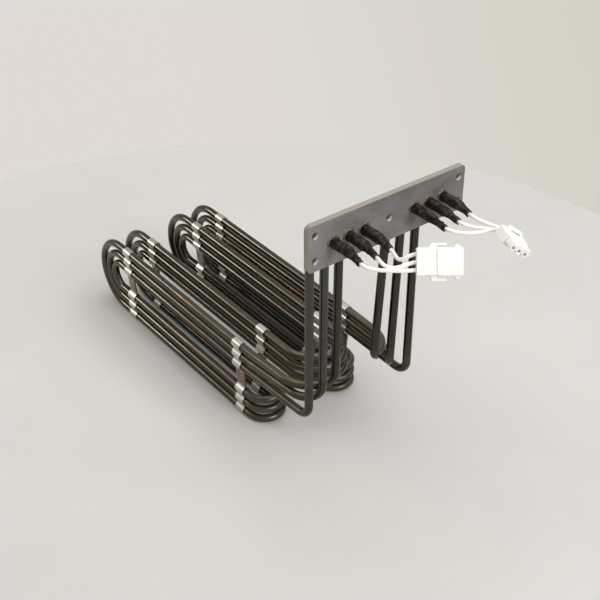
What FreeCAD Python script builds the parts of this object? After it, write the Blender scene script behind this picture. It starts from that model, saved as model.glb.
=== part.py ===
import FreeCAD, Part
import math
import os

# Electric heating element for an air duct or an oven: three sheathed tubular elements, nested in one another,
# brazed into one flange plate and wired to two three-way plugs. Millimetres. X points out of the plate towards
# the terminals, Y runs along the plate and Z is up. The origin is the centre of the plate's back face, the one
# that seats on the duct wall. The coil part of the elements stands on its lowest tubes. Setbacks are measured
# back from the plate's back face, and drops are measured down from the plate's middle.

V = FreeCAD.Vector
X_AXIS = V(1, 0, 0)
Y_AXIS = V(0, 1, 0)
# How far a cutter reaches past what it cuts
CUT_PAST = 1.0

# Flange plate
PLATE_LENGTH = 170.0
PLATE_HEIGHT = 44.0
PLATE_THICKNESS = 5.5
PLATE_CORNER_R = 5.0
PLATE_EDGE_BREAK = 0.4
HOLE_D = 6.6
HOLE_SPACING_Y = 155.2
HOLE_SPACING_Z = 23.5

# Sheathed tube of the elements
TUBE_D = 8.0
TUBE_FIT = 0.15
TUBE_OUT = 21.0

# Legs, numbered 1 to 6 along Y; each group of three stands this far from the plate's middle
LEG_PITCH = 16.0
LEG_INNER_Y = 27.4
LEG_SETBACK = 24.8
LEG_TOP_R = 11.0
# How far each leg leans back at its foot, as the bent tubes really came out
LEG_LEAN = {1: 0.0, 2: 0.4, 3: 1.5, 4: 12.0, 5: 7.0, 6: 0.0}

# Rows of the coil part, numbered 1 to 6 from the top
ROW_1_DROP = 185.8
ROW_PITCH = 11.7
ROW_GAP = 30.0

# Columns: the outer ones carry the legs, the inner ones are joined across the front
COLUMN_SPACING = 31.0
BACK_BEND_SETBACK = 356.0
# Centre of each element's half ring across the front
CROSSING_SETBACK = {1: 97.5, 2: 93.5, 3: 91.5}

# Lower front turns by side, left -1 and right 1: the tube turns further than half round and eases back
TURN_R = 17.5
TURN_SETBACK = {-1: 118.1, 1: 113.1}
TURN_PAST = 25.0
EASE_R = 14.0

# Feet of the legs, where they turn into the top rows: by element, or by side and element
FOOT_R = {1: 15.0, 2: 15.0, 3: 15.0}
SPLAY_ANGLE = {1: 60.0, 2: 45.0}
SPLAY_R = {1: 30.0, 2: 18.0}
FOOT_RISE = {-1: {1: 4.5, 2: 7.5, 3: 4.5}, 1: {1: -2.0, 2: -2.0, 3: -2.0}}
RISE_END_SETBACK = {-1: 120.0, 1: 108.0}
RISE_R = 120.0

# Strip clips that hold the rows
CLIP_WIDTH = 12.5
CLIP_THICKNESS = 0.7
CLIP_FIT = 0.1
CLIP_WAIST = 1.5
CLIP_SLIT = 0.2
CLIP_TAIL_ANGLE = 35.0
# Middles of each clip's upper and lower half, which sit askew: the back ones ahead of the back bends' centre,
# and the front ones behind the lower front turn's centre
BACK_CLIP_AHEAD = {"a": (19.4, 22.4), "b": (19.4, 22.4), "c": (20.8, 23.8), "d": (20.8, 23.8)}
FRONT_CLIP_BEHIND = {"a": (15.9, 12.9), "b": (19.4, 28.9), "c": (6.4, 22.9), "d": (5.2, 7.4)}

# Brazed rings where the tubes leave the plate
BRAZE_HEIGHT = 1.2
BRAZE_WIDTH = 2.3
BRAZE_TOP_WIDTH = 0.42

# End seal, terminal pin and crimp splice
SEAL_D = 6.2
SEAL_DEPTH = 6.0
SEAL_COLLAR = 0.8
SEAL_COLLAR_D = 7.4
PIN_D = 2.5
PIN_DEPTH = 17.0
PIN_REACH = 5.4
PIN_STRAIGHT = 0.5
PIN_BEND_R = 2.0
SPLICE_D = 4.4
SPLICE_START = 1.8
SPLICE_END = 8.6
SPLICE_CRIMP = 0.5
SPLICE_CRIMP_WIDTH = 1.2

# Sleeves over the terminals: how far each one hangs down and where it ends, by terminal
SLEEVE_WALL = 0.8
SLEEVE_FIT = 0.1
SLEEVE_NECK_D = 5.8
SLEEVE_NECK_WALL = 0.55
SLEEVE_TAPER_START = 0.8
SLEEVE_TAPER_END = 8.0
DROOP = {1: 17.0, 2: 16.0, 3: 16.5, 4: 8.0, 5: 9.0, 6: 13.0}
SLEEVE_REACH = {1: 12.4, 2: 13.0, 3: 11.4, 4: 16.3, 5: 14.8, 6: 11.2}

# Lead wires: each leaves its splice in line with it, and enters its plug straight
LEAD_D = 3.2
LEAD_PAST_SLEEVE = 1.5
LEAD_STRAIGHT_IN = 1.5

# Three-way plugs
WAY_PITCH = 6.35
CAVITY_D = 3.9
CONTACT_DEPTH = 3.0
CRIMP_D = 3.0
CRIMP_LENGTH = 5.0
CONTACT_BODY_D = 3.5
CONTACT_BODY_LENGTH = 7.5
CONTACT_TIP_D = 2.1
CONTACT_TIP_LENGTH = 9.0
CONTACT_POINT = 0.8
CONTACT_PLAY = 0.05

# Socket housing on leads 1 to 3: rear middle, heading from X towards Y and roll about its own length
HOOD_AT = V(62.7, -21.7, -5.0)
HOOD_HEADING = 52.3
HOOD_ROLL = 55.0
HOOD_LENGTH = 36.4
HOOD_WIDTH = 22.2
HOOD_REAR_HEIGHT = 9.8
HOOD_FRONT_HEIGHT = 11.4
HOOD_STEP_X = 16.0
HOOD_WALL = 1.3
HOOD_DEPTH = 16.4
HOOD_EAR = 3.8
HOOD_EAR_START = 10.0
HOOD_EAR_END = 23.5
HOOD_EAR_HEIGHT = 6.0
HOOD_EAR_RAMP = 2.0
HOOD_EAR_SLOT = 1.6
HOOD_SLOT_START = 16.0
HOOD_SLOT_INSET = 0.3
HOOD_FLARE = 3.2
HOOD_FLARE_START = 29.0
HOOD_FLARE_PEAK = 32.0
HOOD_CORNER_R = 1.2
HOOD_MOUTH_R = 0.6
# How deep ears, flares and latch are rooted in the housings' walls
ROOT = 1.0

# Plug housing on leads 4 to 6
PLUG_AT = V(79.2, 63.9, -4.2)
PLUG_HEADING = -27.0
PLUG_ROLL = -36.0
PLUG_LENGTH = 26.0
PLUG_WIDTH = 23.0
PLUG_HEIGHT = 9.4
PLUG_STEP_X = 15.0
PLUG_SILO_D = 5.9
PLUG_LATCH_WIDTH = 13.0
PLUG_LATCH_LENGTH = 4.6
PLUG_LATCH_RISE = 3.0
PLUG_LATCH_BAR = 1.3
PLUG_LATCH_X = 1.2
PLUG_CROWN_DROP = 0.6
PLUG_FRONT_WALL = 2.5
PLUG_PIN_HOLE_D = 2.9
PLUG_CORNER_R = 1.0

# Sizes that follow from these
TUBE_R = TUBE_D / 2
KINK_X = PLATE_THICKNESS + TUBE_OUT
OUTER_Y = LEG_INNER_Y + 2 * LEG_PITCH
INNER_Y = OUTER_Y - COLUMN_SPACING
COLUMN_Y = {"a": -OUTER_Y, "b": -INNER_Y, "c": INNER_Y, "d": OUTER_Y}


def row_z(row):
    """Height of a row's centre line."""
    gap = ROW_GAP - ROW_PITCH if row > 3 else 0.0
    return -(ROW_1_DROP + (row - 1) * ROW_PITCH + gap)


def leg_y(leg):
    """Place of a leg along the plate."""
    if leg <= 3:
        return -(LEG_INNER_Y + (3 - leg) * LEG_PITCH)
    return LEG_INNER_Y + (leg - 4) * LEG_PITCH


# Tubes and wires: straight runs and tangent arcs round a list of corners

def bend(before, corner, after, radius):
    """A corner's arc: where it starts and ends, its centre, its axis and its turn in radians."""
    u = (corner - before).normalize()
    w = (after - corner).normalize()
    turn = u.getAngle(w)
    back = radius * math.tan(turn / 2)
    inward = (w - u).normalize()
    centre = corner + inward * (radius / math.cos(turn / 2))
    return corner - u * back, corner + w * back, centre, u.cross(w).normalize(), turn


def bent_tube(corners, radii, diameter):
    """A solid round tube along the corners, each run a cylinder and each bend part of a ring."""
    def circle(at, along):
        return Part.Circle(at, along, diameter / 2).toShape()

    start = corners[0]
    along = (corners[1] - start).normalize()
    faces = [Part.Face(Part.Wire(circle(start, along)))]
    for i in range(1, len(corners) - 1):
        p, q, centre, axis, turn = bend(corners[i - 1], corners[i], corners[i + 1], radii[i - 1])
        if (p - start).Length > 0.001:
            faces.append(circle(start, along).extrude(p - start))
        faces.append(circle(p, along).revolve(centre, axis, math.degrees(turn)))
        start = q
        along = (corners[i + 1] - corners[i]).normalize()
    end = corners[-1]
    if (end - start).Length > 0.001:
        faces.append(circle(start, along).extrude(end - start))
    faces.append(Part.Face(Part.Wire(circle(end, along))))
    skin = Part.makeShell(faces)
    skin.sewShape()
    solid = Part.Solid(skin.Shells[0])
    if solid.Volume < 0:
        solid.reverse()
    return solid


def path_length(corners, radii):
    """Length of the line along the corners with its arcs."""
    total = 0.0
    start = corners[0]
    for i in range(1, len(corners) - 1):
        p, q, centre, axis, turn = bend(corners[i - 1], corners[i], corners[i + 1], radii[i - 1])
        total += (p - start).Length + radii[i - 1] * turn
        start = q
    return total + (corners[-1] - start).Length


def cylinder(at, along, radius, length):
    return Part.makeCylinder(radius, length, at, along)


def turned(profile, at, along):
    """A turned piece from (distance along, radius) points, turned about the line through at."""
    points = [V(x, 0, r) for x, r in profile]
    face = Part.Face(Part.makePolygon(points + [points[0]]))
    solid = face.revolve(V(0, 0, 0), X_AXIS, 360)
    solid.Placement = FreeCAD.Placement(at, FreeCAD.Rotation(X_AXIS, along))
    return solid


# Elements: element 1 is the outer one, on rows 1 and 6, and element 3 the inner one, on rows 3 and 4

def side_corners(element, side):
    """Corners and radii of one half of an element, from its terminal to the middle of the crossing."""
    leg = 4 - element if side < 0 else 3 + element
    y_leg = leg_y(leg)
    upper = row_z(element)
    lower = row_z(7 - element)
    back_r = (upper - lower) / 2
    back_x = -BACK_BEND_SETBACK - back_r
    foot_x = -LEG_SETBACK - LEG_LEAN[leg]
    foot_z = upper + FOOT_RISE[side][element]
    outer = side * OUTER_Y
    inner = side * INNER_Y

    corners = [V(KINK_X, y_leg, 0), V(-LEG_SETBACK, y_leg, 0), V(foot_x, y_leg, foot_z)]
    radii = [LEG_TOP_R, FOOT_R[element]]
    sideways = abs(outer - y_leg)
    if sideways > 0:
        corners.append(V(foot_x - sideways / math.tan(math.radians(SPLAY_ANGLE[element])), outer, foot_z))
        radii.append(SPLAY_R[element])
    corners.append(V(-RISE_END_SETBACK[side], outer, upper))
    radii.append(RISE_R)

    turn_x = TURN_R - TURN_SETBACK[side]
    past = math.radians(TURN_PAST)
    far_y = outer - side * TURN_R * (1 + math.tan((math.pi / 2 + past) / 2))
    ease_x = turn_x - abs(far_y - inner) / math.tan(past)
    corners += [V(back_x, outer, upper), V(back_x, outer, lower), V(turn_x, outer, lower)]
    corners += [V(turn_x, far_y, lower), V(ease_x, inner, lower)]
    corners += [V(back_x, inner, lower), V(back_x, inner, upper)]
    corners += [V(INNER_Y - CROSSING_SETBACK[element], inner, upper)]
    radii += [back_r, back_r, TURN_R, TURN_R, EASE_R, back_r, back_r, INNER_Y]
    return corners, radii


def sheath(element):
    """One element: a round sheath with its ends open for the seal and the pin."""
    left, left_radii = side_corners(element, -1)
    right, right_radii = side_corners(element, 1)
    corners = left + right[::-1]
    radii = left_radii + right_radii[::-1]
    solid = bent_tube(corners, radii, TUBE_D)
    for y in (left[0].y, right[0].y):
        seat = cylinder(V(KINK_X - SEAL_DEPTH, y, 0), X_AXIS, SEAL_D / 2, SEAL_DEPTH)
        bore = cylinder(V(KINK_X - PIN_DEPTH, y, 0), X_AXIS, PIN_D / 2, PIN_DEPTH)
        solid = solid.cut(seat.fuse(bore))
    print("element", element, "length", round(path_length(corners, radii), 1), "volume", round(solid.Volume))
    return solid


# Flange plate

def flange_plate():
    plate = Part.makeBox(PLATE_THICKNESS, PLATE_LENGTH, PLATE_HEIGHT, V(0, -PLATE_LENGTH / 2, -PLATE_HEIGHT / 2))
    corner_edges = [e for e in plate.Edges if abs(e.tangentAt(e.FirstParameter).x) > 0.99]
    plate = plate.makeFillet(PLATE_CORNER_R, corner_edges)
    rims = [e for e in plate.Edges if abs(e.tangentAt(e.FirstParameter).x) < 0.01]
    plate = plate.makeChamfer(PLATE_EDGE_BREAK, rims)
    across = HOLE_SPACING_Y / 2
    up = HOLE_SPACING_Z / 2
    holes = [(y, z, HOLE_D / 2) for y in (-across, across) for z in (-up, up)]
    holes.append((0.0, 0.0, HOLE_D / 2))
    holes += [(leg_y(leg), 0.0, TUBE_R + TUBE_FIT) for leg in range(1, 7)]
    for y, z, radius in holes:
        plate = plate.cut(cylinder(V(-CUT_PAST, y, z), X_AXIS, radius, PLATE_THICKNESS + 2 * CUT_PAST))
    return plate


def braze_ring(leg):
    """The brazing round a tube on the plate's front, and the seat of the sleeve."""
    y = leg_y(leg)
    face_x = PLATE_THICKNESS
    low = V(face_x, y, TUBE_R)
    top = V(face_x + BRAZE_HEIGHT, y, TUBE_R)
    rim = V(face_x + BRAZE_HEIGHT, y, TUBE_R + BRAZE_TOP_WIDTH)
    toe = V(face_x, y, TUBE_R + BRAZE_WIDTH)
    edges = [
        Part.LineSegment(low, top).toShape(),
        Part.LineSegment(top, rim).toShape(),
        Part.LineSegment(rim, toe).toShape(),
        Part.LineSegment(toe, low).toShape(),
    ]
    return Part.Face(Part.Wire(edges)).revolve(V(0, y, 0), X_AXIS, 360)


# Clips: one strip folded over row 1, pressed in between the rows, flat where its two halves meet

def clip_arcs(offset):
    """One side of the strip in the Y-Z plane, offset outwards: its arcs above the strap and those below it."""
    convex = TUBE_R + CLIP_FIT
    rows = [row_z(row) for row in range(1, 7)]
    hollow_r = ((ROW_PITCH / 2) ** 2 + CLIP_WAIST ** 2 - convex ** 2) / (2 * (convex - CLIP_WAIST))
    hollow_y = hollow_r + CLIP_WAIST
    strap_y = CLIP_SLIT / 2
    strap_centre_y = hollow_r + strap_y
    strap_drop = math.sqrt((convex + hollow_r) ** 2 - strap_centre_y ** 2)
    out_r = convex + offset
    in_r = hollow_r - offset

    def on_row(row, angle):
        a = math.radians(angle)
        return V(0, out_r * math.cos(a), rows[row] + out_r * math.sin(a))

    def hollow(centre_y, centre_z, from_angle, to_angle):
        middle = (from_angle + to_angle) / 2
        points = [
            V(0, centre_y + in_r * math.cos(math.radians(a)), centre_z + in_r * math.sin(math.radians(a)))
            for a in (from_angle, middle, to_angle)
        ]
        return Part.Arc(*points).toShape()

    lean = math.degrees(math.atan2(ROW_PITCH / 2, hollow_y))
    strap_lean = math.degrees(math.atan2(strap_drop, strap_centre_y))
    upper = []
    lower = [hollow(strap_centre_y, rows[3] + strap_drop, 180, 180 + strap_lean)]
    for row in range(6):
        arcs = upper if row < 3 else lower
        top = 90.0 if row == 0 else (strap_lean if row == 3 else lean)
        bottom = -strap_lean if row == 2 else (-CLIP_TAIL_ANGLE if row == 5 else -lean)
        arcs.append(Part.Arc(on_row(row, top), on_row(row, (top + bottom) / 2), on_row(row, bottom)).toShape())
        if row in (0, 1, 3, 4):
            middle_z = (rows[row] + rows[row + 1]) / 2
            arcs.append(hollow(hollow_y, middle_z, 180 - lean, 180 + lean))
    upper.append(hollow(strap_centre_y, rows[2] - strap_drop, 180 - strap_lean, 180))
    return upper, lower


def clip(column, upper_x, lower_x):
    """A clip round one column: a folded strip with two mirrored sides, whose strap leans to its lower half."""
    across = X_AXIS * CLIP_WIDTH
    pieces = []
    for inner, outer, middle_x in zip(clip_arcs(0.0), clip_arcs(CLIP_THICKNESS), (upper_x, lower_x)):
        start = Part.LineSegment(inner[0].Vertexes[0].Point, outer[0].Vertexes[0].Point).toShape()
        end = Part.LineSegment(inner[-1].Vertexes[-1].Point, outer[-1].Vertexes[-1].Point).toShape()
        face = Part.Face(Part.Wire(Part.__sortEdges__(inner + outer + [start, end])))
        face.translate(X_AXIS * middle_x - across / 2)
        pieces.append(face.extrude(across))
    upper, lower = clip_arcs(0.0)
    high = upper[-1].Vertexes[-1].Point + X_AXIS * upper_x - across / 2
    low = lower[0].Vertexes[0].Point + X_AXIS * lower_x - across / 2
    strap = Part.Face(Part.makePolygon([high, high + across, low + across, low, high]))
    half = strap.extrude(Y_AXIS * CLIP_THICKNESS).fuse(pieces).removeSplitter()
    mirrored = half.mirror(V(0, 0, 0), Y_AXIS)
    strip = half.fuse(mirrored).removeSplitter()
    strip.translate(Y_AXIS * COLUMN_Y[column])
    return strip


def back_clip(column):
    upper, lower = BACK_CLIP_AHEAD[column]
    return clip(column, upper - BACK_BEND_SETBACK, lower - BACK_BEND_SETBACK)


def front_clip(column):
    upper, lower = FRONT_CLIP_BEHIND[column]
    turn = TURN_SETBACK[-1 if column in "ab" else 1]
    return clip(column, -turn - upper, -turn - lower)


# Terminals: beyond the sheath's end each terminal hangs down by its own angle

def droop_axis(leg):
    a = math.radians(DROOP[leg])
    return V(math.cos(a), 0, -math.sin(a))


def kink(leg):
    return V(KINK_X, leg_y(leg), 0)


def elbow(leg):
    return kink(leg) + X_AXIS * (SEAL_COLLAR + PIN_STRAIGHT)


def end_seal(leg):
    profile = [
        (-SEAL_DEPTH, PIN_D / 2), (SEAL_COLLAR, PIN_D / 2), (SEAL_COLLAR, SEAL_COLLAR_D / 2),
        (0.0, SEAL_COLLAR_D / 2), (0.0, SEAL_D / 2), (-SEAL_DEPTH, SEAL_D / 2),
    ]
    return turned(profile, kink(leg), X_AXIS)


def terminal_pin(leg):
    inside = kink(leg) - X_AXIS * PIN_DEPTH
    outside = elbow(leg) + droop_axis(leg) * PIN_REACH
    return bent_tube([inside, elbow(leg), outside], [PIN_BEND_R], PIN_D)


def splice(leg):
    """A crimp barrel: the pin goes into its back, and its front meets the lead."""
    middle = (PIN_REACH + SPLICE_END) / 2
    shoulder = SPLICE_CRIMP_WIDTH / 2
    profile = [
        (SPLICE_START, PIN_D / 2), (PIN_REACH, PIN_D / 2), (PIN_REACH, 0.0), (SPLICE_END, 0.0),
        (SPLICE_END, SPLICE_D / 2), (middle + shoulder, SPLICE_D / 2), (middle, SPLICE_D / 2 - SPLICE_CRIMP),
        (middle - shoulder, SPLICE_D / 2), (SPLICE_START, SPLICE_D / 2),
    ]
    return turned(profile, elbow(leg), droop_axis(leg))


def sleeve(leg):
    """A black sleeve from the brazing to the lead: a wide part, a ball at the kink, a taper and a neck."""
    bend_at = elbow(leg)
    along = droop_axis(leg)
    start_x = PLATE_THICKNESS + BRAZE_HEIGHT
    reach = SLEEVE_REACH[leg]

    def skin(wide_r, neck_r, over):
        wide = cylinder(V(start_x - over, bend_at.y, 0), X_AXIS, wide_r, bend_at.x - start_x + over)
        ball = Part.makeSphere(wide_r, bend_at)
        profile = [
            (0.0, 0.0), (reach + over, 0.0), (reach + over, neck_r), (SLEEVE_TAPER_END, neck_r),
            (SLEEVE_TAPER_START, wide_r), (0.0, wide_r),
        ]
        return wide.fuse([ball, turned(profile, bend_at, along)])

    inner_r = TUBE_R + SLEEVE_FIT
    neck_r = SLEEVE_NECK_D / 2
    outside = skin(inner_r + SLEEVE_WALL, neck_r, 0.0)
    inside = skin(inner_r, neck_r - SLEEVE_NECK_WALL, CUT_PAST)
    return outside.cut(inside).removeSplitter()


# Plugs: X along the housing from the wires to the open end, Y along the row of ways

def plug_frame(at, heading, roll):
    return FreeCAD.Placement(at, FreeCAD.Rotation(heading, 0, roll))


HOOD_FRAME = plug_frame(HOOD_AT, HOOD_HEADING, HOOD_ROLL)
PLUG_FRAME = plug_frame(PLUG_AT, PLUG_HEADING, PLUG_ROLL)


def block(x0, x1, width, z0, z1, corner_r):
    """A box with its long edges rounded."""
    box = Part.makeBox(x1 - x0, width, z1 - z0, V(x0, -width / 2, z0))
    edges = [e for e in box.Edges if abs(e.tangentAt(e.FirstParameter).x) > 0.99]
    return box.makeFillet(corner_r, edges)


def hood_housing():
    rear = block(0, HOOD_STEP_X, HOOD_WIDTH, -HOOD_REAR_HEIGHT / 2, HOOD_REAR_HEIGHT / 2, HOOD_CORNER_R)
    front_half = HOOD_FRONT_HEIGHT / 2
    front = block(HOOD_STEP_X, HOOD_LENGTH, HOOD_WIDTH, -front_half, front_half, HOOD_CORNER_R)
    half = HOOD_WIDTH / 2
    root = half - ROOT
    solid = rear.fuse(front)
    ears = [
        (HOOD_EAR_START, root), (HOOD_EAR_START, half), (HOOD_EAR_START + HOOD_EAR_RAMP, half + HOOD_EAR),
        (HOOD_EAR_END, half + HOOD_EAR), (HOOD_EAR_END, root),
    ]
    flare = [
        (HOOD_FLARE_START, root), (HOOD_FLARE_START, half), (HOOD_FLARE_PEAK, half + HOOD_FLARE),
        (HOOD_LENGTH, root),
    ]
    for outline in (ears, flare):
        for side in (-1, 1):
            points = [V(x, side * y, -HOOD_EAR_HEIGHT / 2) for x, y in outline]
            face = Part.Face(Part.makePolygon(points + [points[0]]))
            solid = solid.fuse(face.extrude(V(0, 0, HOOD_EAR_HEIGHT)))
    slot_length = HOOD_EAR_END + CUT_PAST - HOOD_SLOT_START
    slot_height = HOOD_EAR_HEIGHT + 2 * CUT_PAST
    for y in (half + HOOD_SLOT_INSET, -half - HOOD_SLOT_INSET - HOOD_EAR_SLOT):
        slot_at = V(HOOD_SLOT_START, y, -slot_height / 2)
        solid = solid.cut(Part.makeBox(slot_length, HOOD_EAR_SLOT, slot_height, slot_at))
    mouth_half = HOOD_FRONT_HEIGHT / 2 - HOOD_WALL
    mouth_x = HOOD_LENGTH - HOOD_DEPTH
    mouth_width = HOOD_WIDTH - 2 * HOOD_WALL
    mouth = block(mouth_x, HOOD_LENGTH + CUT_PAST, mouth_width, -mouth_half, mouth_half, HOOD_MOUTH_R)
    solid = solid.cut(mouth)
    for way in (-1, 0, 1):
        at = V(-CUT_PAST, way * WAY_PITCH, 0)
        solid = solid.cut(cylinder(at, X_AXIS, CAVITY_D / 2, mouth_x + 2 * CUT_PAST))
    solid.Placement = HOOD_FRAME
    return solid


def plug_housing():
    rear = block(0, PLUG_STEP_X, PLUG_WIDTH, -PLUG_HEIGHT / 2, PLUG_HEIGHT / 2, PLUG_CORNER_R)
    silo_r = PLUG_SILO_D / 2
    front_length = PLUG_LENGTH - PLUG_STEP_X
    crown_at = V(PLUG_STEP_X, -WAY_PITCH - silo_r, 0)
    crown_height = PLUG_HEIGHT / 2 - PLUG_CROWN_DROP
    crown = Part.makeBox(front_length, 2 * WAY_PITCH + PLUG_SILO_D, crown_height, crown_at)
    solid = rear.fuse(crown)
    for way in (-1, 0, 1):
        silo_at = V(PLUG_STEP_X - ROOT, way * WAY_PITCH, 0)
        solid = solid.fuse(cylinder(silo_at, X_AXIS, silo_r, front_length + ROOT))
    half = PLUG_LATCH_WIDTH / 2
    latch_at = V(PLUG_LATCH_X, -half, PLUG_HEIGHT / 2 - ROOT)
    latch = Part.makeBox(PLUG_LATCH_LENGTH, PLUG_LATCH_WIDTH, PLUG_LATCH_RISE + ROOT, latch_at)
    window_at = V(PLUG_LATCH_X - CUT_PAST, -half + PLUG_LATCH_BAR, PLUG_HEIGHT / 2)
    window_width = PLUG_LATCH_WIDTH - 2 * PLUG_LATCH_BAR
    window_height = PLUG_LATCH_RISE - PLUG_LATCH_BAR
    window = Part.makeBox(PLUG_LATCH_LENGTH + 2 * CUT_PAST, window_width, window_height, window_at)
    solid = solid.fuse(latch.cut(window))
    for way in (-1, 0, 1):
        at = V(-CUT_PAST, way * WAY_PITCH, 0)
        solid = solid.cut(cylinder(at, X_AXIS, CAVITY_D / 2, PLUG_LENGTH - PLUG_FRONT_WALL + CUT_PAST))
        solid = solid.cut(cylinder(at, X_AXIS, PLUG_PIN_HOLE_D / 2, PLUG_LENGTH + 2 * CUT_PAST))
    solid = solid.removeSplitter()
    solid.Placement = PLUG_FRAME
    return solid


def contact(frame, way, hollow):
    """A crimped contact in its cavity; a hollow one takes the other plug's pin."""
    x0 = CONTACT_DEPTH
    x1 = x0 + CRIMP_LENGTH
    x2 = x1 + CONTACT_BODY_LENGTH
    tip_r = CONTACT_TIP_D / 2
    if hollow:
        profile = [
            (x0, 0.0), (x0, CRIMP_D / 2), (x1, CRIMP_D / 2), (x1, CONTACT_BODY_D / 2), (x2, CONTACT_BODY_D / 2),
            (x2, tip_r + CONTACT_PLAY), (x1, tip_r + CONTACT_PLAY), (x1, 0.0),
        ]
    else:
        x3 = x2 + CONTACT_TIP_LENGTH
        profile = [
            (x0, 0.0), (x0, CRIMP_D / 2), (x1, CRIMP_D / 2), (x1, CONTACT_BODY_D / 2), (x2, CONTACT_BODY_D / 2),
            (x2, tip_r), (x3 - CONTACT_POINT, tip_r), (x3, tip_r / 2), (x3, 0.0),
        ]
    solid = turned(profile, V(0, way * WAY_PITCH, 0), X_AXIS)
    solid.Placement = frame.multiply(solid.Placement)
    return solid


# Leads: each starts at its splice, hangs in the air as the stiff wire does, and ends at its contact

def lead_points(leg):
    middle = {
        1: [(46.4, -57.8, -4.9), (50.8, -53.6, -5.6), (54.8, -47.6, -6.6), (58.4, -40.4, -8.0),
            (61.8, -32.4, -9.6)],
        2: [(47.8, -42.8, -5.4), (52.6, -39.8, -6.7), (56.4, -34.4, -7.0), (59.4, -28.6, -6.2)],
        3: [(44.3, -27.9, -5.2), (48.4, -28.9, -6.6), (52.4, -28.3, -5.6), (55.4, -25.9, -2.8)],
        4: [(53.4, 31.8, -3.0), (59.6, 38.8, -3.4), (63.4, 47.4, -3.6), (66.2, 55.2, -3.6), (70.0, 60.0, -2.6)],
        5: [(50.4, 46.8, -3.8), (56.4, 52.4, -5.0), (61.6, 59.0, -5.8), (67.0, 64.2, -6.0), (72.4, 66.6, -5.4)],
        6: [(46.0, 60.4, -4.0), (52.6, 63.8, -5.8), (59.4, 68.2, -7.4), (66.4, 71.4, -8.6), (73.4, 72.0, -8.6)],
    }[leg]
    frame = HOOD_FRAME if leg <= 3 else PLUG_FRAME
    way = {1: -1, 2: 0, 3: 1, 4: -1, 5: 0, 6: 1}[leg]
    start = elbow(leg) + droop_axis(leg) * SPLICE_END
    out = elbow(leg) + droop_axis(leg) * (SLEEVE_REACH[leg] + LEAD_PAST_SLEEVE)
    entry = frame.multVec(V(-LEAD_STRAIGHT_IN, way * WAY_PITCH, 0))
    end = frame.multVec(V(CONTACT_DEPTH, way * WAY_PITCH, 0))
    return [start, out] + [V(*p) for p in middle] + [entry, end]


def wide_arcs(points):
    """Each corner's radius, as large as its two runs allow."""
    radii = []
    for i in range(1, len(points) - 1):
        before = points[i] - points[i - 1]
        after = points[i + 1] - points[i]
        turn = before.getAngle(after)
        radii.append(0.45 * min(before.Length, after.Length) / math.tan(turn / 2))
    return radii


def lead(leg):
    points = lead_points(leg)
    radii = wide_arcs(points)
    solid = bent_tube(points, radii, LEAD_D)
    length = path_length(points, radii)
    section = math.pi * LEAD_D ** 2 / 4
    print("lead", leg, "length", round(length, 1), "radii", [round(r, 1) for r in radii],
          "runs", [round((b - a).Length, 1) for a, b in zip(points, points[1:])],
          "volume ratio", round(solid.Volume / (section * length), 4))
    return solid


def write(name, shape):
    if not shape.isValid():
        raise ValueError(name + " is not a valid solid")
    if len(shape.Solids) == 1:
        shape = shape.Solids[0]
    shape.exportStep("parts/" + name + ".step")
    print(name, "solids", len(shape.Solids), "volume", round(shape.Volume, 1))


def build():
    os.makedirs("parts", exist_ok=True)
    write("flange_plate", flange_plate())
    for element, name in ((1, "outer"), (2, "middle"), (3, "inner")):
        write("sheath_" + name, sheath(element))
    for leg in range(1, 7):
        write("braze_ring_%d" % leg, braze_ring(leg))
        write("end_seal_%d" % leg, end_seal(leg))
        write("terminal_pin_%d" % leg, terminal_pin(leg))
        write("splice_%d" % leg, splice(leg))
        write("sleeve_%d" % leg, sleeve(leg))
        write("lead_%d" % leg, lead(leg))
    for column in "abcd":
        write("clip_back_" + column, back_clip(column))
        write("clip_front_" + column, front_clip(column))
    write("socket_housing", hood_housing())
    write("plug_housing", plug_housing())
    for way in (-1, 0, 1):
        write("pin_contact_%d" % (way + 2), contact(HOOD_FRAME, way, False))
        write("socket_contact_%d" % (way + 5), contact(PLUG_FRAME, way, True))


build()
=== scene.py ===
# Looks of a flange-mounted heating element: oxidised tubes, bright strip clips, a mottled steel flange plate,
# wrinkled black sleeves, white lead wires and two white three-way plugs, on a pale round table.
import math

import bmesh
import bpy
from bpy.props import FloatProperty, FloatVectorProperty, IntProperty, PointerProperty
from mathutils import Matrix, Vector, noise


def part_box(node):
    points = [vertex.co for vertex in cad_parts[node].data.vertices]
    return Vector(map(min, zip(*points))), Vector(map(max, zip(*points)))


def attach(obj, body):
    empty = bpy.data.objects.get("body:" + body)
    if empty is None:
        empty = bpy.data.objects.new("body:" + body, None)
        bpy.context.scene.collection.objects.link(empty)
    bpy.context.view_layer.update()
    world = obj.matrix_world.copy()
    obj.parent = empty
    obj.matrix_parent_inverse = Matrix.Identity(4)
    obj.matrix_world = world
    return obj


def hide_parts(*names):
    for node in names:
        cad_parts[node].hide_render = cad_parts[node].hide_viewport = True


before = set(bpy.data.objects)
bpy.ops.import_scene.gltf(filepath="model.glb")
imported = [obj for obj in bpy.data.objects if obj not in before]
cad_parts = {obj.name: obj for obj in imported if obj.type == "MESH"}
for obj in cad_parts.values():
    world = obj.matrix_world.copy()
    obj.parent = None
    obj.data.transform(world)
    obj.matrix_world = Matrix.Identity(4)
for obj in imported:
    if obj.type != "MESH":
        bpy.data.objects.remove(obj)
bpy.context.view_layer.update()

bl_info = {
    "name": "Flange Heating Element",
    "version": (1, 0, 0),
    "blender": (4, 5, 0),
    "location": "View3D > Sidebar > Heating Element",
    "description": "Finishes, sleeves, lead wires and studio of a flange-mounted heating element",
    "category": "Object",
}

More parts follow.
